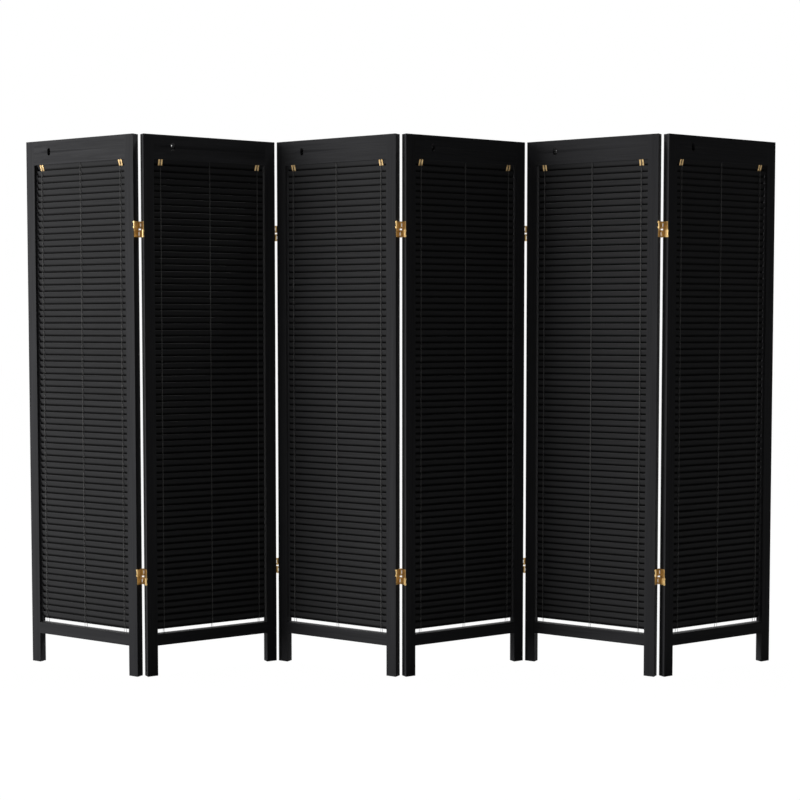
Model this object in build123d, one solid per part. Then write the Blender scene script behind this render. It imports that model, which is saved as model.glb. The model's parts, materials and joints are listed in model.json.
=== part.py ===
"""Free-standing folding screen: black wooden panels filled with closed blind slats.

Each panel is built in its own frame: X along the panel from its left end, Y through its
thickness from the rear face (Y = 0, the side with the plain slat backs) to the front face,
Z up from the floor. The panels are then turned into a zigzag about their hinge pins, and
the whole screen is centred on its own box, standing on Z = 0. Lengths are millimetres.
"""

import math
import os

from build123d import *

# Panels and how they stand
panel_count = 6
screen_height = 1780.0
panel_width = 471.0
panel_thickness = 26.0
seam_gap = 7.5  # between the ends of two neighbours when the screen lies flat
rest_fold = 61.3  # turn from one panel to the next as the screen stands, degrees

# Frame boards
stile_width = 36.0
crown_board_height = 38.0  # upper board of the top rail
head_board_height = 42.0  # lower board of the top rail
bottom_rail_height = 38.0
leg_height = 100.0
tenon_thickness = 9.0
tenon_length = 22.0
tenon_shoulder = 5.0
tenon_clearance = 0.1
mortise_end_room = 1.0

# Blind slats
slat_width = 25.0
slat_thickness = 2.8
slat_edge_radius = 1.0
slat_pitch = 21.5
slat_tilt = 72.0  # from level, rear edge up, degrees
slat_end_gap = 3.0
slat_floor_gap = 13.0  # from the bottom rail up to the lowest slat
top_slat_tuck = 3.0  # room for the highest slat inside the head groove
head_groove_depth = 8.0
head_groove_margin = 2.2  # beside the ladder cords

# String ladders
cord_size = 1.0
cord_clearance = 0.2
rung_thickness = 0.6
outer_ladder_inset = 26.0  # from the stile to the outer ladders
cord_hole_radius = 1.5
cord_hole_depth = 12.0
cord_end_room = 2.0

# Brass clips that hold the highest slat to its outer ladders
clip_width = 14.5
clip_thickness = 1.2
clip_clearance = 0.2
clip_slot_width = 3.4
clip_lip = 6.0
clip_corner_radius = 2.0

# Tilt gear inside the top rail
rod_radius = 2.5
rod_overhang = 8.0  # past the middle of each outer drum
running_clearance = 0.05
drum_width = 9.0
drum_room = 1.5
cord_way_width = 3.0
tilt_slot_inset = 67.0  # from the left stile to the middle of the slot
tilt_slot_width = 12.5
tilt_slot_height = 25.0
tilt_slot_room = 1.0
lever_width = 8.0
lever_hub_wall = 1.4
lever_arm_thickness = 4.0
knob_radius = 5.0
knob_standoff = 0.8

# Two-way hinges
hinge_height = 51.0
hinge_mid_gap = 6.0
top_hinge_drop = 308.5  # from the top of the screen to the middle of the upper hinge
low_hinge_rise = 331.0  # from the floor to the middle of the lower hinge
leaf_thickness = 1.2
leaf_margin = 1.5
link_thickness = 1.2
pin_standoff = 1.0  # the pins stand outside the panel faces by this much
pin_radius = 1.2
pin_head_radius = 2.0
pin_head_height = 1.0
knuckle_radius = 2.4
knuckle_height = 5.6
knuckle_gap = 0.2
screw_radius = 1.5
screw_head_radius = 3.0
screw_length = 18.0
screw_edge_inset = 6.5

# Worked out from the sizes above
mid_depth = panel_thickness / 2
rail_length = panel_width - 2 * stile_width
seam_height = screen_height - crown_board_height
head_underside = seam_height - head_board_height
bottom_rail_top = leg_height + bottom_rail_height
tilt = math.radians(slat_tilt)
slat_half_depth = slat_width / 2 * math.cos(tilt) + slat_thickness / 2 * math.sin(tilt)
slat_half_rise = slat_width / 2 * math.sin(tilt) + slat_thickness / 2 * math.cos(tilt)
slat_length = rail_length - 2 * slat_end_gap
lowest_slat = bottom_rail_top + slat_floor_gap + slat_half_rise
highest_room = head_underside + top_slat_tuck - slat_half_rise
slat_count = int((highest_room - lowest_slat) / slat_pitch) + 1
slat_heights = [lowest_slat + n * slat_pitch for n in range(slat_count)]
cord_offset = slat_half_depth + cord_clearance + cord_size / 2
drum_radius = cord_offset - cord_size / 2 - cord_clearance
ladder_places = [
    stile_width + outer_ladder_inset,
    panel_width / 2,
    panel_width - stile_width - outer_ladder_inset,
]
tilt_slot_place = stile_width + tilt_slot_inset
half_height = (hinge_height - hinge_mid_gap) / 2
pin_offset = mid_depth + pin_standoff
hinge_heights = [low_hinge_rise, screen_height - top_hinge_drop]
leaf_screws = [
    (-1, hinge_height / 2 - screw_edge_inset),
    (1, hinge_mid_gap / 2 + screw_edge_inset),
    (-1, -hinge_mid_gap / 2 - screw_edge_inset),
    (1, screw_edge_inset - hinge_height / 2),
]
screw_offset = mid_depth - screw_edge_inset


def block(x0, x1, y0, y1, z0, z1):
    """A straight block between two corners."""
    size = Box(x1 - x0, y1 - y0, z1 - z0)
    return Pos((x0 + x1) / 2, (y0 + y1) / 2, (z0 + z1) / 2) * size


def rod_along_x(x0, x1, radius, y, z):
    """A round bar along the panel."""
    return Pos((x0 + x1) / 2, y, z) * Rot(0, 90, 0) * Cylinder(radius, x1 - x0)


def upright(x, y, z0, z1, radius):
    """A round bar standing upright."""
    return Pos(x, y, (z0 + z1) / 2) * Cylinder(radius, z1 - z0)


def rail_levels():
    """The lowest and highest level of each board between the stiles."""
    return {
        "bottom": (leg_height, bottom_rail_top),
        "head": (head_underside, seam_height),
        "crown": (seam_height, screen_height),
    }


def screw_depths():
    """Where the leaf screws of all hinges enter a stile: (y, z) on the panel's end."""
    for level in hinge_heights:
        for side, rise in leaf_screws:
            yield side * screw_offset, level + rise


def stile(x0, hinged):
    """One upright board with the mortises of the rails and the screw holes of its hinges."""
    left = x0 == 0
    board = block(x0, x0 + stile_width, 0, panel_thickness, 0, screen_height)
    shoulder = x0 + stile_width if left else x0
    reach = tenon_length + mortise_end_room
    deep = shoulder - reach if left else shoulder + reach
    half = tenon_thickness / 2 + tenon_clearance
    for low, high in rail_levels().values():
        z0 = low + tenon_shoulder - tenon_clearance
        z1 = high - tenon_shoulder + tenon_clearance
        ends = sorted((shoulder, deep))
        board -= block(*ends, mid_depth - half, mid_depth + half, z0, z1)
    if hinged:
        x1, outward = (x0, -1) if left else (x0 + stile_width, 1)
        ends = sorted((x1, x1 - outward * (screw_length - leaf_thickness)))
        for y, z in screw_depths():
            y = mid_depth + outward * y
            board -= rod_along_x(*ends, screw_radius + running_clearance, y, z)
    return board


def rail_board(level):
    """One board between the stiles, with a tenon at each end."""
    low, high = rail_levels()[level]
    board = block(stile_width, stile_width + rail_length, 0, panel_thickness, low, high)
    half = tenon_thickness / 2
    board += block(
        stile_width - tenon_length,
        stile_width + rail_length + tenon_length,
        mid_depth - half,
        mid_depth + half,
        low + tenon_shoulder,
        high - tenon_shoulder,
    )
    return board


def tilt_gear_room():
    """What the tilt gear and the cords need cut out of the two boards of the top rail."""
    ends = (ladder_places[0] - rod_overhang, ladder_places[-1] + rod_overhang)
    bore = rod_radius + running_clearance
    room = [rod_along_x(*ends, bore, mid_depth, seam_height)]
    side = cord_offset + cord_size / 2 + drum_room
    for x in ladder_places:
        half = drum_width / 2 + drum_room
        low, high = seam_height - side, seam_height + side
        room.append(block(x - half, x + half, mid_depth - side, mid_depth + side, low, high))
        half = cord_way_width / 2
        low, high = head_underside, seam_height
        room.append(block(x - half, x + half, mid_depth - side, mid_depth + side, low, high))
    half = tilt_slot_width / 2
    straight = tilt_slot_height / 2 - half
    x, z = tilt_slot_place, seam_height
    room.append(block(x - half, x + half, 0, panel_thickness, z - straight, z + straight))
    for end in (z - straight, z + straight):
        through = Pos(x, mid_depth, end) * Rot(90, 0, 0)
        room.append(through * Cylinder(half, panel_thickness))
    return room


def top_rail():
    """The crown board and the head board, grooved under for the highest slat."""
    crown, head = rail_board("crown"), rail_board("head")
    half = cord_offset + cord_size / 2 + head_groove_margin
    groove_top = head_underside + head_groove_depth
    ends = (stile_width, stile_width + rail_length)
    head -= block(*ends, mid_depth - half, mid_depth + half, head_underside, groove_top)
    for cut in tilt_gear_room():
        crown -= cut
        head -= cut
    return [crown, head]


def bottom_rail():
    """The board under the slats, drilled for the ends of the ladder cords."""
    board = rail_board("bottom")
    for x in ladder_places:
        for y in (mid_depth - cord_offset, mid_depth + cord_offset):
            low = bottom_rail_top - cord_hole_depth
            board -= upright(x, y, low, bottom_rail_top, cord_hole_radius)
    return [board]


def on_slat(level):
    """The frame of a slat: its X along the panel, its Y up the width, its Z off the rear face."""
    return Pos(panel_width / 2, mid_depth, level) * Rot(180 - slat_tilt, 0, 0)


def slats():
    """All slats of a panel, each with rounded long edges, rear edge up."""
    profile = RectangleRounded(slat_width, slat_thickness, slat_edge_radius)
    slat = extrude(Plane.YZ * profile, amount=slat_length / 2, both=True)
    return [on_slat(level) * slat for level in slat_heights]


def across_slat(level, along, off):
    """The (y, z) point at a distance up the slat's width and off its middle, rearwards."""
    y = mid_depth - along * math.cos(tilt) - off * math.sin(tilt)
    return y, level + along * math.sin(tilt) - off * math.cos(tilt)


def rung_edge(level, off):
    """One side of a rung, along the slat's rear face: its points at the two cords."""
    inner = cord_offset - cord_size / 2
    ends = []
    for reach in (inner, -inner):
        along = (reach - off * math.sin(tilt)) / math.cos(tilt)
        ends.append(across_slat(level, along, off))
    return ends


def outline(points):
    """A closed straight-sided wire through (y, z) points."""
    return Wire.make_polygon([Vector(0, y, z) for y, z in points], close=True)


def ladder():
    """A string ladder: two cords, a rung under each slat, and a loop over its drum."""
    inner = cord_offset - cord_size / 2
    outer = cord_offset + cord_size / 2
    foot = bottom_rail_top - cord_hole_depth + cord_end_room
    seat = slat_thickness / 2 + cord_clearance
    uppers = [rung_edge(z, seat) for z in slat_heights]
    lowers = [rung_edge(z, seat + rung_thickness) for z in slat_heights]

    def at(y, z):
        return Vector(0, mid_depth + y, z)

    def over(radius):
        return ThreePointArc(
            at(-radius, seam_height), at(0, seam_height + radius), at(radius, seam_height)
        )

    last = [Vector(0, y, z) for y, z in uppers[-1]]
    top_hole = Wire(
        [
            Line(at(-inner, seam_height), last[0]),
            Line(last[0], last[1]),
            Line(last[1], at(inner, seam_height)),
            over(inner),
        ]
    )
    first = [Vector(0, y, z) for y, z in lowers[0]]
    rim = Wire(
        [
            Line(at(-outer, foot), at(-outer, seam_height)),
            over(outer),
            Line(at(outer, seam_height), at(outer, foot)),
            Line(at(outer, foot), at(inner, foot)),
            Line(at(inner, foot), first[1]),
            Line(first[1], first[0]),
            Line(first[0], at(-inner, foot)),
            Line(at(-inner, foot), at(-outer, foot)),
        ]
    )
    holes = [outline(low + up[::-1]) for low, up in zip(lowers[1:], uppers[:-1])]
    face = Face(rim, [*holes, top_hole])
    return Pos(-cord_size / 2, 0, 0) * extrude(face, amount=cord_size, dir=(1, 0, 0))


def ladders():
    """The three ladders of a panel."""
    one = ladder()
    return [Pos(x, 0, 0) * one for x in ladder_places]


def slat_clip():
    """A brass clip hooked over the highest slat, split so that the cord runs between."""
    near = slat_thickness / 2 + clip_clearance
    out = near + clip_thickness
    top = slat_width / 2 + clip_clearance
    hook = [
        (-slat_width / 2, near),
        (-slat_width / 2, out),
        (top + clip_thickness, out),
        (top + clip_thickness, -out),
        (slat_width / 2 - clip_lip, -out),
        (slat_width / 2 - clip_lip, -near),
        (top, -near),
        (top, near),
    ]
    side = Face(Wire.make_polygon([Vector(0, y, off) for y, off in hook], close=True))
    clip = extrude(side, amount=clip_width, dir=(1, 0, 0))
    clip = Pos(-clip_width / 2, 0, 0) * clip
    length = slat_width / 2 + top + clip_thickness
    plan = RectangleRounded(clip_width, length, clip_corner_radius)
    plan = Pos(0, length / 2 - slat_width / 2, 0) * plan
    clip &= extrude(plan, amount=out, both=True)
    half = clip_slot_width / 2
    return clip - block(-half, half, -slat_width, slat_width, 0, 2 * out)


def slat_clips():
    """The clips at the two outer ladders."""
    clip = on_slat(slat_heights[-1]) * slat_clip()
    places = (ladder_places[0], ladder_places[-1])
    return [Pos(x - panel_width / 2, 0, 0) * clip for x in places]


def tilt_rod():
    """The rod that turns in the top rail, with a drum for each ladder."""
    ends = (ladder_places[0] - rod_overhang, ladder_places[-1] + rod_overhang)
    rod = rod_along_x(*ends, rod_radius, mid_depth, seam_height)
    bore = rod_radius + running_clearance
    pieces = [rod]
    for x in ladder_places:
        ends = (x - drum_width / 2, x + drum_width / 2)
        drum = rod_along_x(*ends, drum_radius, mid_depth, seam_height)
        pieces.append(drum - rod_along_x(*ends, bore, mid_depth, seam_height))
    return pieces


def lever_drop():
    """How far below level the lever points when it rests low in its slot, degrees."""
    end_radius = tilt_slot_width / 2
    end_rise = math.sqrt(end_radius**2 - (lever_width / 2) ** 2)
    room = tilt_slot_height / 2 - end_radius + end_rise - tilt_slot_room
    reach = math.hypot(room, mid_depth)
    turn = math.acos(lever_arm_thickness / 2 / reach) - math.atan2(mid_depth, room)
    return math.degrees(turn)


def tilt_lever():
    """The lever on the rod: a hub, an arm out through the front of the slot and a knob."""
    drop = lever_drop()
    reach = (mid_depth + knob_radius + knob_standoff) / math.cos(math.radians(drop))
    half = lever_width / 2
    hub = rod_along_x(-half, half, rod_radius + lever_hub_wall, 0, 0)
    thick = lever_arm_thickness / 2
    arm = block(-half, half, 0, reach, -thick, thick)
    lever = hub + arm + Pos(0, reach, 0) * Sphere(knob_radius)
    lever -= rod_along_x(-half, half, rod_radius + running_clearance, 0, 0)
    return [Pos(tilt_slot_place, mid_depth, seam_height) * Rot(-drop, 0, 0) * lever]


def knuckle_levels():
    """The two end knuckles of a leaf in the hinge's upper half: lowest and highest level."""
    low, high = hinge_mid_gap / 2, hinge_height / 2
    return [(low, low + knuckle_height), (high - knuckle_height, high)]


def half_levels(upper):
    """Knuckle levels of the hinge's upper or lower half."""
    if upper:
        return knuckle_levels()
    return [(-high, -low) for low, high in knuckle_levels()]


def hinge_leaf():
    """The leaf on the left panel: knuckles at the rear above, at the front below."""
    end = -seam_gap / 2
    side = mid_depth - leaf_margin
    face = end + leaf_thickness
    leaf = block(end, face, -side, side, -hinge_height / 2, hinge_height / 2)
    half = leaf_thickness / 2
    for upper, y in ((True, -pin_offset), (False, pin_offset)):
        edge = sorted((math.copysign(side, y), y + math.copysign(half, y)))
        for low, high in half_levels(upper):
            leaf += block(end, face, *edge, low, high)
            leaf += block(end, 0, y - half, y + half, low, high)
            leaf += upright(0, y, low, high, knuckle_radius)
            leaf -= upright(0, y, low, high, pin_radius + running_clearance)
    for side, z in leaf_screws:
        leaf -= screw_head(side * screw_offset, z, running_clearance)
    return leaf


def screw_head(y, z, room=0.0):
    """The countersunk head of a leaf screw, flush with the leaf on the left panel."""
    cone = Cone(screw_radius + room, screw_head_radius + room, leaf_thickness)
    return Pos(-seam_gap / 2 + leaf_thickness / 2, y, z) * Rot(0, 90, 0) * cone


def leaf_screw(y, z):
    """A countersunk screw through the leaf into the left panel's end."""
    end = -seam_gap / 2
    shank = (end - screw_length + leaf_thickness + cord_clearance, end)
    return screw_head(y, z) + rod_along_x(*shank, screw_radius, y, z)


def pin(upper, y):
    """A hinge pin with a head at each end, in the hinge's upper or lower half."""
    low, high = hinge_mid_gap / 2, hinge_height / 2
    if not upper:
        low, high = -high, -low
    shank = upright(0, y, low, high, pin_radius)
    shank += upright(0, y, high, high + pin_head_height, pin_head_radius)
    return shank + upright(0, y, low - pin_head_height, low, pin_head_radius)


def hinge_link():
    """The upper link: it joins the rear pin of the left leaf to the front pin of the right."""
    low, high = knuckle_levels()[0][1] + knuckle_gap, knuckle_levels()[1][0] - knuckle_gap
    half = link_thickness / 2
    side = pin_offset - knuckle_radius - knuckle_gap
    link = block(-half, half, -side, side, hinge_mid_gap / 2, hinge_height / 2)
    link += block(-half, half, -pin_offset, pin_offset, low, high)
    for y in (-pin_offset, pin_offset):
        link += upright(0, y, low, high, knuckle_radius)
        link -= upright(0, y, low, high, pin_radius + running_clearance)
    return link


def seam_is_ridge(seam):
    """Seams stand alternately towards the rear viewer (ridge) and away (valley)."""
    return seam % 2 == 0


def carrier_link(seam):
    """The link that stays with the left panel as the screen folds."""
    link = hinge_link()
    if seam_is_ridge(seam):
        return link
    return Pos(0, 0, -half_height - hinge_mid_gap) * link


def leaf_parts():
    """What a hinge screws to the panel on its left: leaf, screws and two pins."""
    parts = [hinge_leaf(), pin(True, -pin_offset), pin(False, pin_offset)]
    return parts + [leaf_screw(side * screw_offset, z) for side, z in leaf_screws]


def right_leaf_parts(seam):
    """What a hinge screws to the panel on its right, with the link that stays with it."""
    return [Rot(0, 0, 180) * piece for piece in leaf_parts()] + [carrier_link(seam + 1)]


def panel_frames():
    """Where each panel stands before the whole screen is centred."""
    frame = Rot(0, 0, -rest_fold / 2)
    frames = [frame]
    for seam in range(panel_count - 1):
        ridge = seam_is_ridge(seam)
        pivot_y = mid_depth + (pin_offset if ridge else -pin_offset)
        turn = rest_fold if ridge else -rest_fold
        pivot = Pos(panel_width + seam_gap / 2, pivot_y, 0)
        frame = frame * pivot * Rot(0, 0, turn) * Pos(seam_gap / 2, -pivot_y, 0)
        frames.append(frame)
    return frames


def hinge_places(x):
    """The frames of the two hinges at one end of a panel."""
    return [Pos(x, mid_depth, level) for level in hinge_heights]


def screen():
    """All nodes of the screen, each a list of solids, placed but not yet centred."""
    nodes = {}
    rails, low_rail, blind = top_rail(), bottom_rail(), slats()
    cords, clips, rod, lever = ladders(), slat_clips(), tilt_rod(), tilt_lever()
    frames = panel_frames()
    right_end = panel_width - stile_width
    for n, frame in enumerate(frames):
        name = f"panel{n + 1}_"
        hinges = []
        if n > 0:
            for place in hinge_places(-seam_gap / 2):
                hinges += [place * piece for piece in right_leaf_parts(n - 1)]
        if n < panel_count - 1:
            for place in hinge_places(panel_width + seam_gap / 2):
                hinges += [place * piece for piece in leaf_parts()]
        parts = {
            "stiles": [stile(0, n > 0), stile(right_end, n < panel_count - 1)],
            "top_rail": rails,
            "bottom_rail": low_rail,
            "slats": blind,
            "ladder_cords": cords,
            "slat_clips": clips,
            "tilt_rod": rod,
            "tilt_lever": lever,
            "hinge_leaves": hinges,
        }
        for part, pieces in parts.items():
            nodes[name + part] = [frame * piece for piece in pieces]
        if n < panel_count - 1:
            link = carrier_link(n)
            places = hinge_places(panel_width + seam_gap / 2)
            nodes[f"seam{n + 1}_hinge_links"] = [frame * place * link for place in places]
    return nodes


def centred(nodes):
    """The same nodes with the middle of their common box over the origin."""
    boxes = [piece.bounding_box() for group in nodes.values() for piece in group]
    x = (min(box.min.X for box in boxes) + max(box.max.X for box in boxes)) / 2
    y = (min(box.min.Y for box in boxes) + max(box.max.Y for box in boxes)) / 2
    shift = Pos(-x, -y, 0)
    return {name: [shift * piece for piece in group] for name, group in nodes.items()}


os.makedirs("parts", exist_ok=True)
for node, pieces in centred(screen()).items():
    solids = [solid for piece in pieces for solid in piece.solids()]
    export_step(Compound(solids), f"parts/{node}.step")
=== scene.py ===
"""Looks of a folding screen: black-stained wooden panels filled with closed blind slats.

The screen stands in a zigzag with its rear towards -Y, Z is up, and lengths are metres.
Each panel has a frame of its own: X along the panel, Y from its rear face to its front
face, Z up from the floor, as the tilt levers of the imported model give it.
"""

import json
import math

import bpy
from mathutils import Matrix, Vector


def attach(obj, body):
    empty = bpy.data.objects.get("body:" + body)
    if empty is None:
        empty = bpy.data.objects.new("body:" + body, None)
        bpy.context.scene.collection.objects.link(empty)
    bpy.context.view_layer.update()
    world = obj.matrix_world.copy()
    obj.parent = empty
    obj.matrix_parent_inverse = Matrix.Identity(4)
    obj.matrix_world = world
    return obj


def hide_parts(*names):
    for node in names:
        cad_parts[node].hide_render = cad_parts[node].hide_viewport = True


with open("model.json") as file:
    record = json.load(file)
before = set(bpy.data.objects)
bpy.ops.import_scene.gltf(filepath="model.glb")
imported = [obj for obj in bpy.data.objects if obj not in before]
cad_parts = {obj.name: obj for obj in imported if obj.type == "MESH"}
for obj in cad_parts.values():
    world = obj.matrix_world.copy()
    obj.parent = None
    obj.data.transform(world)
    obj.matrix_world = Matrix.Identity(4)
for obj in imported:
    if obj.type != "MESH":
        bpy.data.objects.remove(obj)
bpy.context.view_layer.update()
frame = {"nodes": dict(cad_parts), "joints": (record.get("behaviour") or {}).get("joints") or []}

joints = {joint["name"]: joint for joint in frame["joints"]}

MM = 0.001

# The screen's sizes
PANELS = range(1, 7)
SEAMS = range(1, 6)
PANEL_WIDTH = 471 * MM
PANEL_THICKNESS = 26 * MM
STILE_WIDTH = 36 * MM
SEAM_HEIGHT = 1742 * MM
BOTTOM_RAIL_TOP = 138 * MM
SLOT_PLACE = 103 * MM
SLAT_COUNT = 72
SLAT_PITCH = 21.5 * MM
SLAT_WIDTH = 25 * MM
SLAT_THICKNESS = 2.8 * MM
SLAT_TILT = math.radians(72)
SLAT_FLOOR_GAP = 13 * MM
OUTER_LADDER_INSET = 26 * MM
LADDER_PLACES = (
    STILE_WIDTH + OUTER_LADDER_INSET,
    PANEL_WIDTH / 2,
    PANEL_WIDTH - STILE_WIDTH - OUTER_LADDER_INSET,
)

# String ladders
CORD_RADIUS = 0.5 * MM
CORD_CLEARANCE = 0.2 * MM
CORD_FOOT = 128 * MM
CORD_SIDES = 8
KNOT_RADIUS = 0.7 * MM
KNOT_HALF_LENGTH = 0.7 * MM
KNOT_TAPER = 0.9 * MM
RUNG_RADIUS = 0.3 * MM
RUNG_SIDES = 6
DRUM_STEPS = 12  # straight runs of a cord over its drum

# Softened arrises of the frame boards
STILE_EASE = 1.0 * MM
TOP_RAIL_EASE = 0.6 * MM
BOTTOM_RAIL_EASE = 1.0 * MM
EASE_STEPS = 2
EASE_ANGLE = math.radians(40)
WELD_DISTANCE = 0.01 * MM

# Black wood
WOOD_SHINE = 0.025
WOOD_RELIEF = 0.12
FRAME_RUB = 0.35
# on the slats the edge rub is set strong, so it also paints light lines along the slat edges, a
# painted highlight
SLAT_RUB_AND_HIGHLIGHT = 0.9
# painted shade: the near-black that fills the crevices between the closed slats
CREVICE_PAINTED_SHADE = (0.005, 0.005, 0.005, 1)
PORE_BLACK = (0.012, 0.012, 0.013, 1)
STAIN_BLACK = (0.030, 0.030, 0.032, 1)
STILE_GREY = (0.048, 0.048, 0.051, 1)
RAIL_GREY = (0.052, 0.052, 0.055, 1)
SLAT_STAIN = (0.038, 0.038, 0.039, 1)
SLAT_GREY = (0.056, 0.056, 0.058, 1)
RUBBED_GREY = (0.10, 0.10, 0.102, 1)
DUST_GREY = (0.20, 0.195, 0.19, 1)

# Metal, moulding and cord
HINGE_BRASS = (0.62, 0.44, 0.20, 1)
HINGE_BRASS_DEEP = (0.40, 0.26, 0.10, 1)
CLIP_BRASS = (0.56, 0.40, 0.20, 1)
CLIP_BRASS_DEEP = (0.40, 0.27, 0.12, 1)
TARNISH_BROWN = (0.20, 0.10, 0.03, 1)
RUBBED_BRASS = (0.93, 0.72, 0.38, 1)
STEEL_BRIGHT = (0.42, 0.42, 0.43, 1)
STEEL_DULL = (0.24, 0.23, 0.22, 1)
LEVER_BLACK = (0.012, 0.012, 0.013, 1)
LEVER_GREY = (0.03, 0.03, 0.031, 1)
# painted shade for the hollows between the braid strands
CORD_HOLLOW_SHADE = (0.06, 0.059, 0.058, 1)
CORD_STRAND = (0.19, 0.187, 0.183, 1)
CORD_FUZZ = (0.24, 0.235, 0.23, 1)

# Room, light and camera
FLOOR_REACH = 30.0
FLOOR_GREY = (0.14, 0.14, 0.14, 1)
FLOOR_GLOW = 1.03
FLOOR_GLOW_SHARE = 0.97  # the rest takes the screen's shadow
FILL_GREY = (0.006, 0.006, 0.006, 1)
ROOM_WHITE = (1, 1, 1, 1)
LEFT_WINDOW = {
    "place": (-7.5, -2.2, 1.7),
    "target": (0, 0, 1.1),
    "width": 3.0,
    "height": 3.2,
    "watts": 510,
}
TOP_LIGHT = {
    "place": (0.0, 0.7, 5.0),
    "target": (0, 0.1, 0),
    "width": 2.6,
    "height": 0.8,
    "watts": 480,
}
LENS_LENGTH = 66.65
SENSOR_WIDTH = 36.0
SIGHT_LIMIT = 100.0
CAMERA_PLACE = (-0.003, -4.966, 1.1676)
CAMERA_DIP = math.radians(2.987)


# Shader nodes


class Bench:
    """A node tree on which nodes are laid down and joined."""

    def __init__(self, tree):
        self.tree = tree

    def lay(self, kind, settings=None, **sockets):
        """Adds a node, sets its properties, and fills its inputs with values or outputs."""
        node = self.tree.nodes.new(kind)
        for name, value in (settings or {}).items():
            setattr(node, name, value)
        for name, value in sockets.items():
            name = name.replace("_", " ")
            socket = node.inputs[int(name[2:])] if name.startswith("in") else node.inputs[name]
            if isinstance(value, bpy.types.NodeSocket):
                self.tree.links.new(value, socket)
            else:
                socket.default_value = value
        return node

    def math(self, operation, a, b=0.0, clamp=False):
        """One sum of two values."""
        settings = {"operation": operation, "use_clamp": clamp}
        return self.lay("ShaderNodeMath", settings, in0=a, in1=b).outputs[0]

    def spread(self, value, low, high, start=0.0, end=1.0):
        """Stretches a value from one range to another and holds it inside."""
        node = self.lay("ShaderNodeMapRange", None, Value=value)
        for name, number in (
            ("From Min", low),
            ("From Max", high),
            ("To Min", start),
            ("To Max", end),
        ):
            node.inputs[name].default_value = number
        return node.outputs[0]

    def blend(self, share, a, b):
        """A colour between two colours."""
        settings = {"data_type": "RGBA"}
        node = self.lay("ShaderNodeMix", settings, in0=share, in6=a, in7=b)
        return node.outputs[2]


def effect(name, inputs, outputs):
    """An empty node group with named sockets: its tree, bench, inputs and way out."""
    tree = bpy.data.node_groups.new(name, "ShaderNodeTree")
    for label, kind, value in inputs:
        socket = tree.interface.new_socket(name=label, in_out="INPUT", socket_type=kind)
        if value is not None:
            socket.default_value = value
    for label, kind in outputs:
        tree.interface.new_socket(name=label, in_out="OUTPUT", socket_type=kind)
    bench = Bench(tree)
    given = tree.nodes.new("NodeGroupInput").outputs
    result = tree.nodes.new("NodeGroupOutput").inputs

    def deliver(**values):
        for label, value in values.items():
            tree.links.new(value, result[label.replace("_", " ")])

    return tree, bench, given, deliver


def make_wood_grain():
    """Straight-grained timber: streaks along X, growth bands, and short open pores."""
    tree, bench, given, deliver = effect(
        "wood grain",
        [
            ("Vector", "NodeSocketVector", None),
            ("Streak Length", "NodeSocketFloat", 0.25),
            ("Streak Width", "NodeSocketFloat", 0.004),
            ("Pore Share", "NodeSocketFloat", 0.4),
        ],
        [("Tone", "NodeSocketFloat"), ("Pores", "NodeSocketFloat"), ("Relief", "NodeSocketFloat")],
    )
    parted = bench.lay("ShaderNodeSeparateXYZ", None, Vector=given["Vector"]).outputs
    long_way = bench.math("DIVIDE", parted[0], given["Streak Length"])
    across = bench.math("DIVIDE", parted[1], given["Streak Width"])
    up = bench.math("DIVIDE", parted[2], given["Streak Width"])
    laid = bench.lay("ShaderNodeCombineXYZ", None, X=long_way, Y=across, Z=up).outputs[0]
    streaks = bench.lay(
        "ShaderNodeTexNoise", None, Vector=laid, Scale=1.0, Detail=5.0, Roughness=0.62
    ).outputs[0]
    wide = bench.lay("ShaderNodeVectorMath", {"operation": "SCALE"}, in0=laid, Scale=0.22)
    bands = bench.lay(
        "ShaderNodeTexNoise", None, Vector=wide.outputs[0], Scale=1.0, Detail=2.0, Distortion=0.6
    ).outputs[0]
    fine = bench.lay("ShaderNodeVectorMath", {"operation": "MULTIPLY"}, in0=laid)
    fine.inputs[1].default_value = (9.0, 5.0, 5.0)
    pore_noise = bench.lay(
        "ShaderNodeTexNoise", None, Vector=fine.outputs[0], Scale=1.0, Detail=1.0
    ).outputs[0]
    edge = bench.spread(given["Pore Share"], 0.0, 1.0, 0.78, 0.5)
    pores = bench.math("MULTIPLY", bench.math("SUBTRACT", pore_noise, edge), 9.0, clamp=True)
    tone = bench.math("MULTIPLY", streaks, 0.6)
    tone = bench.math("ADD", tone, bench.math("MULTIPLY", bands, 0.4))
    tone = bench.spread(tone, 0.3, 0.7)
    sunk = bench.math("MULTIPLY", pores, 0.8)
    relief = bench.math("SUBTRACT", bench.math("MULTIPLY", streaks, 0.7), sunk)
    deliver(Tone=tone, Pores=pores, Relief=relief)
    return tree


def make_edge_rub():
    """Where a piece is rubbed along its arrises, broken up by a fine noise."""
    tree, bench, given, deliver = effect(
        "edge rub",
        [("Radius", "NodeSocketFloat", 0.001), ("Patch Size", "NodeSocketFloat", 0.02)],
        [("Mask", "NodeSocketFloat")],
    )
    rounded = bench.lay("ShaderNodeBevel", {"samples": 2}, Radius=given["Radius"]).outputs[0]
    flat = bench.lay("ShaderNodeNewGeometry").outputs["Normal"]
    alike = bench.lay("ShaderNodeVectorMath", {"operation": "DOT_PRODUCT"}, in0=rounded, in1=flat)
    bent = bench.spread(alike.outputs["Value"], 0.995, 0.85)
    place = bench.lay("ShaderNodeTexCoord").outputs["Object"]
    size = bench.math("DIVIDE", 1.0, given["Patch Size"])
    patches = bench.lay("ShaderNodeTexNoise", None, Vector=place, Scale=size, Detail=4.0).outputs[0]
    deliver(Mask=bench.math("MULTIPLY", bent, bench.spread(patches, 0.35, 0.65)))
    return tree


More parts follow.
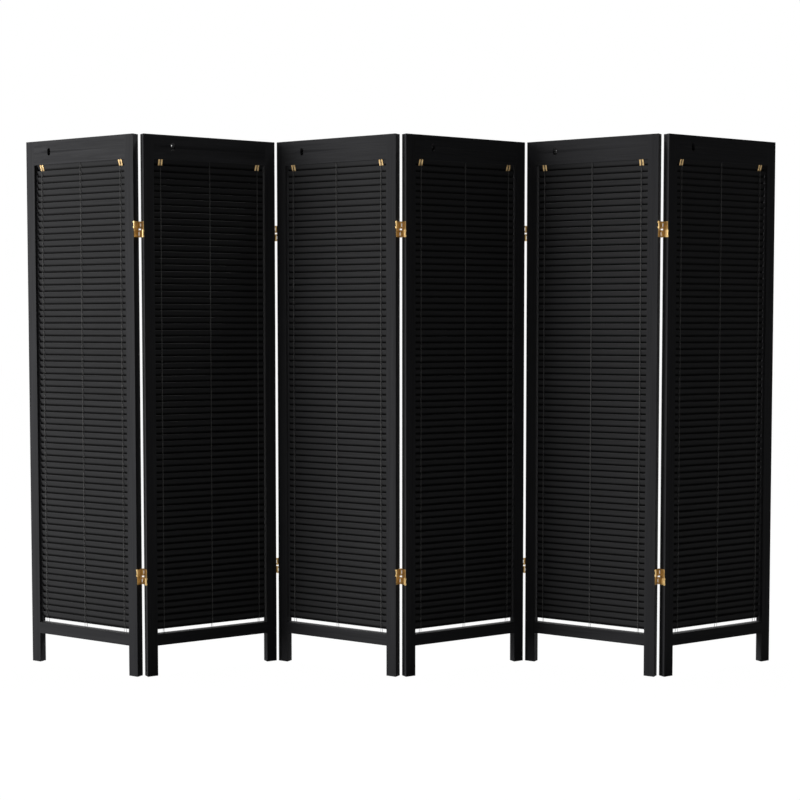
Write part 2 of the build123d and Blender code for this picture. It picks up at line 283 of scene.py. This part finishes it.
def make_fine_dust():
    """Dust that settles on faces that look up, in soft patches."""
    tree, bench, given, deliver = effect(
        "fine dust",
        [("Amount", "NodeSocketFloat", 0.3), ("Patch Size", "NodeSocketFloat", 0.05)],
        [("Mask", "NodeSocketFloat")],
    )
    normal = bench.lay("ShaderNodeNewGeometry").outputs["Normal"]
    up = bench.lay("ShaderNodeSeparateXYZ", None, Vector=normal).outputs[2]
    place = bench.lay("ShaderNodeTexCoord").outputs["Object"]
    size = bench.math("DIVIDE", 1.0, given["Patch Size"])
    patches = bench.lay("ShaderNodeTexNoise", None, Vector=place, Scale=size, Detail=5.0).outputs[0]
    settled = bench.math("MULTIPLY", bench.spread(up, 0.2, 0.9), bench.spread(patches, 0.3, 0.7))
    deliver(Mask=bench.math("MULTIPLY", settled, given["Amount"]))
    return tree


def make_metal_handling():
    """What a rolled and handled metal strip shows: brush lines, cloudy tarnish and nicks."""
    tree, bench, given, deliver = effect(
        "metal handling",
        [
            ("Brush Width", "NodeSocketFloat", 0.0004),
            ("Cloud Size", "NodeSocketFloat", 0.012),
        ],
        [
            ("Lines", "NodeSocketFloat"),
            ("Tarnish", "NodeSocketFloat"),
            ("Nicks", "NodeSocketFloat"),
        ],
    )
    place = bench.lay("ShaderNodeTexCoord").outputs["Object"]
    size = bench.math("DIVIDE", 1.0, given["Brush Width"])
    drawn = bench.lay("ShaderNodeVectorMath", {"operation": "MULTIPLY"}, in0=place)
    drawn.inputs[1].default_value = (1.0, 1.0, 0.04)
    lines = bench.lay(
        "ShaderNodeTexNoise", None, Vector=drawn.outputs[0], Scale=size, Detail=2.0
    ).outputs[0]
    cloud = bench.math("DIVIDE", 1.0, given["Cloud Size"])
    clouds = bench.lay("ShaderNodeTexNoise", None, Vector=place, Scale=cloud, Detail=6.0).outputs[0]
    spots = bench.math("MULTIPLY", cloud, 6.0)
    cells = bench.lay("ShaderNodeTexVoronoi", None, Vector=place, Scale=spots).outputs[0]
    tarnish = bench.spread(clouds, 0.4, 0.7)
    deliver(Lines=lines, Tarnish=tarnish, Nicks=bench.spread(cells, 0.16, 0.04))
    return tree


def make_cord_braid():
    """The slanting strands of a thin braided cord that runs up and down."""
    tree, bench, given, deliver = effect(
        "cord braid",
        [("Strand Length", "NodeSocketFloat", 0.0011)],
        [("Strands", "NodeSocketFloat"), ("Fuzz", "NodeSocketFloat")],
    )
    place = bench.lay("ShaderNodeTexCoord").outputs["Object"]
    parted = bench.lay("ShaderNodeSeparateXYZ", None, Vector=place).outputs
    slant = bench.math("ADD", parted[2], bench.math("MULTIPLY", parted[0], 0.6))
    turn = bench.math("MULTIPLY", bench.math("DIVIDE", slant, given["Strand Length"]), 2 * math.pi)
    strands = bench.spread(bench.math("SINE", turn), -1.0, 1.0)
    fuzz = bench.lay("ShaderNodeTexNoise", None, Vector=place, Scale=2600.0, Detail=2.0).outputs[0]
    deliver(Strands=strands, Fuzz=fuzz)
    return tree


def make_painted_slat_shade():
    """Painted shade for the closed blind: a mask that is 0 in the crevice beside each slat's edge,
    where shade falls, and rises to 1 over the open face.
    """
    tree, bench, given, deliver = effect(
        "slat shade",
        [
            ("Pitch", "NodeSocketFloat", 0.0215),
            ("Rear Start", "NodeSocketFloat", 0.0),
            ("Front Start", "NodeSocketFloat", 0.0),
        ],
        [("Open", "NodeSocketFloat")],
    )
    place = bench.lay("ShaderNodeTexCoord").outputs["Object"]
    height = bench.lay("ShaderNodeSeparateXYZ", None, Vector=place).outputs[2]
    above = bench.math("SUBTRACT", height, given["Rear Start"])
    above = bench.math("FRACT", bench.math("DIVIDE", above, given["Pitch"]))
    below = bench.math("SUBTRACT", given["Front Start"], height)
    below = bench.math("FRACT", bench.math("DIVIDE", below, given["Pitch"]))
    normal = bench.lay("ShaderNodeNewGeometry").outputs["Normal"]
    outward = bench.lay("ShaderNodeSeparateXYZ", None, Vector=normal).outputs[1]
    front = bench.math("GREATER_THAN", outward, 0.0)
    rear_part = bench.math("MULTIPLY", above, bench.math("SUBTRACT", 1.0, front))
    part = bench.math("ADD", rear_part, bench.math("MULTIPLY", below, front))
    deliver(Open=bench.spread(part, 0.14, 0.42))
    return tree


WOOD_GRAIN = make_wood_grain()
PAINTED_SLAT_SHADE = make_painted_slat_shade()
EDGE_RUB = make_edge_rub()
FINE_DUST = make_fine_dust()
METAL_HANDLING = make_metal_handling()
CORD_BRAID = make_cord_braid()


def finish_of(name, **constants):
    """A new material: its bench and its Principled shader with the constants set."""
    material = bpy.data.materials.new(name)
    material.use_nodes = True
    bench = Bench(material.node_tree)
    shader = material.node_tree.nodes["Principled BSDF"]
    for label, value in constants.items():
        shader.inputs[label.replace("_", " ")].default_value = value
    return material, bench, shader


def use(bench, tree, **sockets):
    """Places a node group and fills its inputs."""
    return bench.lay("ShaderNodeGroup", {"node_tree": tree}, **sockets).outputs


def feed(bench, shader, colour, rough):
    """Joins the worked-out colour and roughness to the shader."""
    bench.tree.links.new(colour, shader.inputs["Base Color"])
    bench.tree.links.new(rough, shader.inputs["Roughness"])


def emboss(bench, shader, strength, distance, height):
    """Raises a fine relief on the surface."""
    relief = bench.lay(
        "ShaderNodeBump", None, Strength=strength, Distance=distance, Height=height
    )
    bench.tree.links.new(relief.outputs[0], shader.inputs["Normal"])


def black_wood(name, turn, upright, streaks, dark, light, shade=None):
    """Black-stained timber with its grain along the board, in streaks of a length and width."""
    material, bench, shader = finish_of(name, Specular_IOR_Level=WOOD_SHINE)
    place = bench.lay("ShaderNodeTexCoord").outputs["Object"]
    apart = bench.lay("ShaderNodeNewGeometry").outputs["Random Per Island"]
    apart = bench.math("MULTIPLY", apart, 37.0)
    turned = bench.lay("ShaderNodeMapping", None, Vector=place)
    turned.inputs["Rotation"].default_value = (0, 0, -turn)
    laid = bench.lay("ShaderNodeMapping", None, Vector=turned.outputs[0])
    laid.inputs["Rotation"].default_value = (0, math.pi / 2 if upright else 0, 0)
    moved = bench.lay("ShaderNodeVectorMath", {"operation": "ADD"}, in0=laid.outputs[0], in1=apart)
    length, width = streaks
    grain = use(
        bench, WOOD_GRAIN, Vector=moved.outputs[0], Streak_Length=length, Streak_Width=width
    )
    rub = use(bench, EDGE_RUB, Radius=0.0012, Patch_Size=0.03)
    dust = use(bench, FINE_DUST, Amount=0.10, Patch_Size=0.06)
    colour = bench.blend(grain["Tone"], dark, light)
    colour = bench.blend(bench.math("MULTIPLY", grain["Pores"], 0.55), colour, PORE_BLACK)
    if shade:
        shaded = use(bench, PAINTED_SLAT_SHADE, **shade)
        # Painted shade: the crevices between the slats are darkened to near black.
        colour = bench.blend(shaded["Open"], CREVICE_PAINTED_SHADE, colour)
    # Edge wear on the arrises; on the slats it is strong enough to also paint light edge lines, a
    # painted highlight.
    rub_and_highlight = bench.math("MULTIPLY", rub["Mask"], SLAT_RUB_AND_HIGHLIGHT if shade else FRAME_RUB)
    colour = bench.blend(rub_and_highlight, colour, RUBBED_GREY)
    colour = bench.blend(dust["Mask"], colour, DUST_GREY)
    rough = bench.spread(grain["Tone"], 0.0, 1.0, 0.52, 0.40)
    rough = bench.math("ADD", rough, bench.math("MULTIPLY", dust["Mask"], 0.3), clamp=True)
    feed(bench, shader, colour, rough)
    emboss(bench, shader, WOOD_RELIEF, 0.4 * MM, grain["Relief"])
    return material


def brass_finish(name, bright, deep, roughness):
    """Yellow brass with brush lines, some tarnish and small nicks."""
    material, bench, shader = finish_of(name, Metallic=1.0)
    worn = use(bench, METAL_HANDLING)
    rub = use(bench, EDGE_RUB, Radius=0.0004, Patch_Size=0.01)
    colour = bench.blend(worn["Tarnish"], bright, deep)
    colour = bench.blend(bench.math("MULTIPLY", worn["Nicks"], 0.6), colour, TARNISH_BROWN)
    colour = bench.blend(bench.math("MULTIPLY", rub["Mask"], 0.7), colour, RUBBED_BRASS)
    rough = bench.math("ADD", bench.math("MULTIPLY", worn["Lines"], 0.16), roughness)
    rough = bench.math("ADD", rough, bench.math("MULTIPLY", worn["Tarnish"], 0.14))
    feed(bench, shader, colour, rough)
    emboss(bench, shader, 0.2, 0.05 * MM, worn["Lines"])
    return material


def steel_finish(name):
    """Drawn steel of the tilt rod, slightly oiled."""
    material, bench, shader = finish_of(name, Metallic=1.0)
    worn = use(bench, METAL_HANDLING, Brush_Width=0.0006, Cloud_Size=0.02)
    colour = bench.blend(worn["Tarnish"], STEEL_BRIGHT, STEEL_DULL)
    rough = bench.math("ADD", bench.math("MULTIPLY", worn["Lines"], 0.2), 0.22)
    feed(bench, shader, colour, rough)
    return material


def lever_finish(name):
    """Black moulded lever with a fine sparked skin."""
    material, bench, shader = finish_of(name)
    rub = use(bench, EDGE_RUB, Radius=0.0008, Patch_Size=0.008)
    place = bench.lay("ShaderNodeTexCoord").outputs["Object"]
    skin = bench.lay("ShaderNodeTexNoise", None, Vector=place, Scale=1800.0, Detail=3.0).outputs[0]
    colour = bench.blend(skin, LEVER_BLACK, LEVER_GREY)
    colour = bench.blend(bench.math("MULTIPLY", rub["Mask"], 0.5), colour, RUBBED_GREY)
    feed(bench, shader, colour, bench.spread(skin, 0.2, 0.8, 0.32, 0.46))
    emboss(bench, shader, 0.25, 0.08 * MM, skin)
    return material


def cord_finish(name):
    """Charcoal braided cord."""
    material, bench, shader = finish_of(name, Sheen_Weight=0.3)
    braid = use(bench, CORD_BRAID)
    # Painted shade: the hollows between the braid strands are darkened.
    colour = bench.blend(braid["Strands"], CORD_HOLLOW_SHADE, CORD_STRAND)
    colour = bench.blend(bench.math("MULTIPLY", braid["Fuzz"], 0.4), colour, CORD_FUZZ)
    feed(bench, shader, colour, bench.spread(braid["Fuzz"], 0.2, 0.8, 0.6, 0.85))
    emboss(bench, shader, 0.6, 0.15 * MM, braid["Strands"])
    return material


# Where the panels stand


def panel_frame(number):
    """Where a panel stands: the matrix from its own frame to the room."""
    lever = joints[f"tilt_lever{number}"]
    along = Vector(lever["axis"]).normalized()
    if along.x < 0:
        along = -along
    through = Vector((-along.y, along.x, 0))
    up = Vector((0, 0, 1))
    corner = Vector(lever["pos_m"])
    corner -= along * SLOT_PLACE + through * PANEL_THICKNESS / 2 + up * SEAM_HEIGHT
    place = Matrix((along, through, up)).transposed().to_4x4()
    place.translation = corner
    return place


# String ladders


def tube(points, radii, sides, verts, faces):
    """Adds a closed tube along points, with a radius at each."""
    first = len(verts)
    last = len(points) - 1
    for n, (point, radius) in enumerate(zip(points, radii)):
        ahead = points[min(n + 1, last)] - points[max(n - 1, 0)]
        ahead.normalize()
        side = Vector((1, 0, 0))
        other = ahead.cross(side).normalized()
        for k in range(sides):
            turn = 2 * math.pi * k / sides
            verts.append(point + radius * (math.cos(turn) * side + math.sin(turn) * other))
    for n in range(last):
        ring, following = first + n * sides, first + (n + 1) * sides
        for k in range(sides):
            m = (k + 1) % sides
            faces.append((ring + k, ring + m, following + m, following + k))
    faces.append(tuple(range(first + sides - 1, first - 1, -1)))
    faces.append(tuple(range(first + last * sides, first + (last + 1) * sides)))


def slat_half_rise():
    """Half the height of a tilted slat."""
    return (SLAT_WIDTH * math.sin(SLAT_TILT) + SLAT_THICKNESS * math.cos(SLAT_TILT)) / 2


def slat_levels():
    """The height of the middle of each slat."""
    lowest = BOTTOM_RAIL_TOP + SLAT_FLOOR_GAP + slat_half_rise()
    return [lowest + n * SLAT_PITCH for n in range(SLAT_COUNT)]


def rung_height(level, reach):
    """The height of a rung under its slat, at a distance from the panel's middle plane."""
    off = SLAT_THICKNESS / 2 + CORD_CLEARANCE + RUNG_RADIUS
    along = (reach - off * math.sin(SLAT_TILT)) / math.cos(SLAT_TILT)
    return level + along * math.sin(SLAT_TILT) - off * math.cos(SLAT_TILT)


def string_ladders(number, place, finish):
    """The three string ladders of a panel: cords with a knot at each rung, over their drums."""
    verts, faces = [], []
    half_depth = (SLAT_WIDTH * math.cos(SLAT_TILT) + SLAT_THICKNESS * math.sin(SLAT_TILT)) / 2
    reach = half_depth + CORD_CLEARANCE + CORD_RADIUS
    middle = PANEL_THICKNESS / 2
    for x in LADDER_PLACES:
        sides = []
        for way in (1, -1):
            line = [(CORD_FOOT, CORD_RADIUS)]
            for level in slat_levels():
                knot = rung_height(level, way * reach)
                line += [
                    (knot - KNOT_HALF_LENGTH - KNOT_TAPER, CORD_RADIUS),
                    (knot - KNOT_HALF_LENGTH, KNOT_RADIUS),
                    (knot + KNOT_HALF_LENGTH, KNOT_RADIUS),
                    (knot + KNOT_HALF_LENGTH + KNOT_TAPER, CORD_RADIUS),
                ]
            sides.append([(Vector((x, middle - way * reach, z)), r) for z, r in line])
        over = []
        for n in range(DRUM_STEPS + 1):
            turn = math.pi * n / DRUM_STEPS
            y, z = middle - reach * math.cos(turn), SEAM_HEIGHT + reach * math.sin(turn)
            over.append((Vector((x, y, z)), CORD_RADIUS))
        whole = sides[0] + over + sides[1][::-1]
        tube([p for p, _ in whole], [r for _, r in whole], CORD_SIDES, verts, faces)
        for level in slat_levels():
            ends = [
                Vector((x, middle - off, rung_height(level, off))) for off in (reach, -reach)
            ]
            tube(ends, [RUNG_RADIUS] * 2, RUNG_SIDES, verts, faces)
    mesh = bpy.data.meshes.new(f"panel{number}_string_ladders")
    mesh.from_pydata([place @ v for v in verts], [], faces)
    mesh.shade_smooth()
    mesh.materials.append(finish)
    ladders = bpy.data.objects.new(mesh.name, mesh)
    bpy.context.scene.collection.objects.link(ladders)
    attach(ladders, f"panel{number}")
    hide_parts(f"panel{number}_ladder_cords")


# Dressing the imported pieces


def paint(node, finish):
    """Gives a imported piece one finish."""
    mesh = frame["nodes"][node].data
    mesh.materials.clear()
    mesh.materials.append(finish)


def ease_edges(node, width):
    """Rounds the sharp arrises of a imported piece, as sanding does."""
    piece = frame["nodes"][node]
    joined = piece.modifiers.new("joined faces", "WELD")
    joined.merge_threshold = WELD_DISTANCE
    eased = piece.modifiers.new("eased arrises", "BEVEL")
    eased.width = width
    eased.segments = EASE_STEPS
    eased.limit_method = "ANGLE"
    eased.angle_limit = EASE_ANGLE
    eased.harden_normals = False
    smooth = piece.modifiers.new("even shading", "WEIGHTED_NORMAL")
    smooth.keep_sharp = False


def dress_panel(number, finishes):
    """Finishes and softened arrises for one panel."""
    name = f"panel{number}_"
    lean = "left" if number % 2 else "right"
    for piece, finish in (
        ("stiles", finishes["stile", lean]),
        ("top_rail", finishes["rail", lean]),
        ("bottom_rail", finishes["rail", lean]),
        ("slats", finishes["slat", lean]),
        ("slat_clips", finishes["clip"]),
        ("tilt_rod", finishes["rod"]),
        ("tilt_lever", finishes["lever"]),
        ("hinge_leaves", finishes["brass"]),
    ):
        paint(name + piece, finish)
    ease_edges(name + "stiles", STILE_EASE)
    ease_edges(name + "top_rail", TOP_RAIL_EASE)
    ease_edges(name + "bottom_rail", BOTTOM_RAIL_EASE)
    string_ladders(number, panel_frame(number), finishes["cord"])


# Room, light and camera


def seen_directly(bench):
    """A mask for what the camera sees, straight, mirrored or through something clear."""
    path = bench.lay("ShaderNodeLightPath").outputs
    straight = bench.math("MAXIMUM", path["Is Camera Ray"], path["Is Glossy Ray"])
    return bench.math("MAXIMUM", straight, path["Is Transmission Ray"])


def white_floor():
    """A plain white floor that keeps a soft shadow."""
    corners = [
        (x * FLOOR_REACH, y * FLOOR_REACH, 0) for x, y in ((-1, -1), (1, -1), (1, 1), (-1, 1))
    ]
    mesh = bpy.data.meshes.new("floor")
    mesh.from_pydata(corners, [], [(0, 1, 2, 3)])
    material = bpy.data.materials.new("floor paint")
    material.use_nodes = True
    bench = Bench(material.node_tree)
    bench.tree.nodes.clear()
    matt = bench.lay("ShaderNodeBsdfDiffuse", None, Color=FLOOR_GREY)
    white = bench.lay("ShaderNodeEmission", None, Strength=FLOOR_GLOW)
    share = bench.math("MULTIPLY", seen_directly(bench), FLOOR_GLOW_SHARE)
    surfaces = {"in1": matt.outputs[0], "in2": white.outputs[0]}
    both = bench.lay("ShaderNodeMixShader", None, in0=share, **surfaces)
    bench.lay("ShaderNodeOutputMaterial", None, Surface=both.outputs[0])
    mesh.materials.append(material)
    floor = bpy.data.objects.new("floor", mesh)
    bpy.context.scene.collection.objects.link(floor)


def white_room():
    """A white surround with a low, even fill."""
    world = bpy.data.worlds.new("studio")
    bpy.context.scene.world = world
    world.use_nodes = True
    bench = Bench(world.node_tree)
    ground = world.node_tree.nodes["Background"]
    colour = bench.blend(seen_directly(bench), FILL_GREY, ROOM_WHITE)
    bench.tree.links.new(colour, ground.inputs["Color"])
    ground.inputs["Strength"].default_value = 1.0


def soft_box(name, place, target, width, height, watts):
    """A large soft lamp that faces a point."""
    lamp = bpy.data.lights.new(name, "AREA")
    lamp.shape = "RECTANGLE"
    lamp.size, lamp.size_y = width, height
    lamp.energy = watts
    box = bpy.data.objects.new(name, lamp)
    box.location = place
    away = Vector(target) - Vector(place)
    box.rotation_euler = away.to_track_quat("-Z", "Y").to_euler()
    bpy.context.scene.collection.objects.link(box)


def camera():
    """A long lens at breast height, straight in front of the rear of the screen."""
    lens = bpy.data.cameras.new("camera")
    lens.lens = LENS_LENGTH
    lens.sensor_width = SENSOR_WIDTH
    lens.clip_end = SIGHT_LIMIT
    view = bpy.data.objects.new("camera", lens)
    view.location = CAMERA_PLACE
    view.rotation_euler = (math.pi / 2 - CAMERA_DIP, 0, 0)
    bpy.context.scene.collection.objects.link(view)
    bpy.context.scene.camera = view


lean_angles = {
    "left": math.atan2(*(panel_frame(1).col[0].yx)),
    "right": math.atan2(*(panel_frame(2).col[0].yx)),
}
finishes = {
    "brass": brass_finish("hinge brass", HINGE_BRASS, HINGE_BRASS_DEEP, 0.34),
    "clip": brass_finish("clip brass", CLIP_BRASS, CLIP_BRASS_DEEP, 0.36),
    "rod": steel_finish("rod steel"),
    "lever": lever_finish("lever black"),
    "cord": cord_finish("ladder cord"),
}
lowest_slat = slat_levels()[0]
# Where the painted crevice shade starts on the slats' rear and front faces
slat_shade = {
    "Pitch": SLAT_PITCH,
    "Rear_Start": lowest_slat + slat_half_rise(),
    "Front_Start": lowest_slat - slat_half_rise(),
}
for lean, turn in lean_angles.items():
    finishes["stile", lean] = black_wood(
        f"stile wood {lean}", turn, True, (0.22, 0.0035), STAIN_BLACK, STILE_GREY
    )
    finishes["rail", lean] = black_wood(
        f"rail wood {lean}", turn, False, (0.18, 0.0032), STAIN_BLACK, RAIL_GREY
    )
    finishes["slat", lean] = black_wood(
        f"slat wood {lean}", turn, False, (0.12, 0.0022), SLAT_STAIN, SLAT_GREY, slat_shade
    )
for number in PANELS:
    dress_panel(number, finishes)
for seam in SEAMS:
    paint(f"seam{seam}_hinge_links", finishes["brass"])

white_floor()
white_room()
soft_box("left window", **LEFT_WINDOW)
soft_box("top light", **TOP_LIGHT)
camera()
bpy.context.scene.view_settings.view_transform = "Standard"
